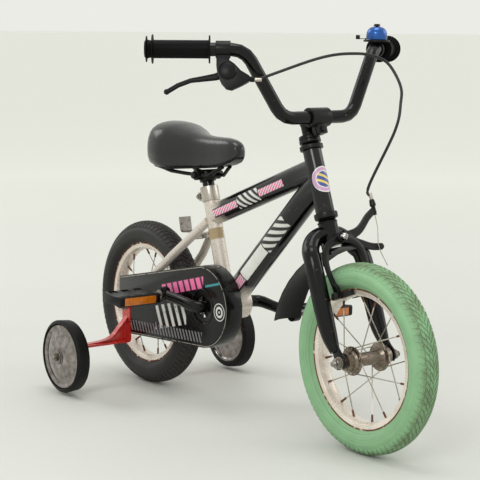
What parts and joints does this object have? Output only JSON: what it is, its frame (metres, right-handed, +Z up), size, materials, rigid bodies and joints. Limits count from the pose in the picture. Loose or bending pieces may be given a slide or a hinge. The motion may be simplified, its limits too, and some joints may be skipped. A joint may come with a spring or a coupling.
{
  "type": "children's bicycle",
  "caption": "Small child's bicycle with steel frame, training wheels, chain guard, front caliper brake, coaster hub and bell.",
  "frame": {"origin": "on the ground, midway between the two wheel axles, in the plane of the frame", "axes": "+X forward, +Y to the rider's left, +Z up"},
  "size_m": [0.9438, 0.55, 0.7009],
  "materials": {
    "frame_paint": "gloss paint, black at the front and silver at the rear",
    "gloss_black": "gloss black paint",
    "black_steel": "satin black, worn at the edges",
    "dark_steel": "oiled dark steel",
    "steel": "bright steel",
    "zinc": "zinc plated, some rust",
    "chrome": "bright chrome",
    "hub_chrome": "chrome with rust spots",
    "rim_steel": "silver with a thin rusty edge",
    "tyre_front": "mint green rubber, worn",
    "tyre_rear": "black rubber, worn",
    "training_rubber": "black rubber",
    "brake_rubber": "black rubber",
    "grip_rubber": "black textured rubber",
    "black_plastic": "black plastic",
    "guard_plastic": "black plastic with printed pattern",
    "casing_black": "black cable casing",
    "amber": "clear amber",
    "red_paint": "red paint, chipped",
    "bell_blue": "metallic blue",
    "saddle_vinyl": "black vinyl"
  },
  "bodies": {
    "steering_unit": {"bell_base": "black_plastic", "bell_dome": "bell_blue", "brake_cable": "casing_black", "brake_lever_bracket": "black_plastic", "caliper_bolt": "chrome", "fork": "gloss_black", "front_axle": "zinc", "front_mudguard": "black_plastic", "grip_left": "grip_rubber", "grip_right": "grip_rubber", "handlebar": "gloss_black", "headset_nut": "black_steel", "stem": "black_steel"},
    "bell_striker_unit": {"bell_striker": "steel"},
    "frame_unit": {"bottom_bracket_cup_left": "chrome", "bottom_bracket_cup_right": "chrome", "brake_arm": "zinc", "chain": "dark_steel", "chain_guard": "guard_plastic", "chain_guard_clip": "zinc", "frame": "frame_paint", "guard_tab": "zinc", "headset_lower_cup": "black_steel", "headset_upper_cup": "black_steel", "rear_axle": "zinc", "seat_clamp": "steel", "seat_clamp_bolt": "zinc", "training_axle_left": "zinc", "training_axle_right": "zinc", "training_bracket_left": "red_paint", "training_bracket_right": "red_paint"},
    "brake_lever_unit": {"brake_lever": "black_plastic"},
    "left_caliper_arm": {"brake_shoe_left": "brake_rubber", "caliper_arm_left": "black_steel"},
    "right_caliper_arm": {"brake_shoe_right": "brake_rubber", "brake_wire": "steel", "caliper_arm_right": "black_steel"},
    "crank_unit": {"chainring": "steel", "crank": "gloss_black", "pedal_axle_left": "zinc", "pedal_axle_right": "zinc"},
    "front_wheel": {"front_hub": "hub_chrome", "front_rim": "rim_steel", "front_tyre": "tyre_front"},
    "left_pedal": {"pedal_left": "black_plastic", "pedal_reflector_left": "amber"},
    "right_pedal": {"pedal_reflector_right": "amber", "pedal_right": "black_plastic"},
    "rear_wheel": {"rear_hub": "hub_chrome", "rear_rim": "rim_steel", "rear_tyre": "tyre_rear"},
    "rear_sprocket_unit": {"rear_sprocket": "dark_steel"},
    "seat_unit": {"saddle": "saddle_vinyl", "saddle_base": "black_plastic", "saddle_clamp": "black_steel", "seat_post": "gloss_black"},
    "left_training_wheel": {"training_disc_left": "chrome", "training_tyre_left": "training_rubber"},
    "right_training_wheel": {"training_disc_right": "chrome", "training_tyre_right": "training_rubber"}
  },
  "joints": [
    {"name": "seat_height", "type": "slide", "parent": "frame_unit", "child": "seat_unit", "axis": [-0.2907, 0, 0.9568], "range_m": [-0.01, 0.06]},
    {"name": "steering", "type": "hinge", "parent": "frame_unit", "child": "steering_unit", "pos_m": [0.2099, 0, 0.37186], "axis": [-0.3469, 0, 0.9379], "range_deg": [-50, 50]},
    {"name": "front_wheel_spin", "type": "hinge", "parent": "steering_unit", "child": "front_wheel", "pos_m": [0.31335, 0, 0.1585], "axis": [0, 1, 0], "continuous": true},
    {"name": "rear_wheel_spin", "type": "hinge", "parent": "frame_unit", "child": "rear_wheel", "pos_m": [-0.31335, 0, 0.1585], "axis": [0, 1, 0], "continuous": true},
    {"name": "crank_spin", "type": "hinge", "parent": "frame_unit", "child": "crank_unit", "pos_m": [-0.06274, 0, 0.192], "axis": [0, 1, 0], "continuous": true, "deforming": ["chain"]},
    {"name": "rear_sprocket_spin", "type": "hinge", "parent": "frame_unit", "child": "rear_sprocket_unit", "pos_m": [-0.31335, 0, 0.1585], "axis": [0, 1, 0], "continuous": true},
    {"name": "left_pedal_spin", "type": "hinge", "parent": "crank_unit", "child": "left_pedal", "pos_m": [0.03155, 0.149, 0.18042], "axis": [0, 1, 0], "continuous": true},
    {"name": "right_pedal_spin", "type": "hinge", "parent": "crank_unit", "child": "right_pedal", "pos_m": [-0.15704, -0.149, 0.20358], "axis": [0, 1, 0], "continuous": true},
    {"name": "left_training_wheel_spin", "type": "hinge", "parent": "frame_unit", "child": "left_training_wheel", "pos_m": [-0.31235, 0.195, 0.0732], "axis": [0, 1, 0], "continuous": true},
    {"name": "right_training_wheel_spin", "type": "hinge", "parent": "frame_unit", "child": "right_training_wheel", "pos_m": [-0.31235, -0.195, 0.0732], "axis": [0, 1, 0], "continuous": true},
    {"name": "brake_lever_pull", "type": "hinge", "parent": "steering_unit", "child": "brake_lever_unit", "pos_m": [0.15312, -0.16861, 0.62039], "axis": [-0.74, 0.5791, -0.342], "range_deg": [0, 12], "stiffness_Nm_per_rad": 1.5, "springref_deg": -11.46, "deforming": ["brake_wire"]},
    {"name": "right_caliper_swing", "type": "hinge", "parent": "steering_unit", "child": "right_caliper_arm", "pos_m": [0.2404, 0, 0.34849], "axis": [0.9379, 0, 0.3469], "range_deg": [0, 1.5]},
    {"name": "left_caliper_swing", "type": "hinge", "parent": "steering_unit", "child": "left_caliper_arm", "pos_m": [0.2404, 0, 0.34849], "axis": [0.9379, 0, 0.3469], "range_deg": [-1.5, 0]},
    {"name": "bell_striker_swing", "type": "hinge", "parent": "steering_unit", "child": "bell_striker_unit", "pos_m": [0.12456, 0.15184, 0.66991], "axis": [-0.004, 0.0051, 1], "range_deg": [0, 15], "stiffness_Nm_per_rad": 0.05, "springref_deg": -5.73}
  ],
  "couplings": [
    {"joint": "rear_sprocket_spin", "follows": "crank_spin", "ratio": 1.75},
    {"joint": "right_caliper_swing", "follows": "brake_lever_pull", "ratio": 0.12},
    {"joint": "left_caliper_swing", "follows": "brake_lever_pull", "ratio": -0.12}
  ]
}
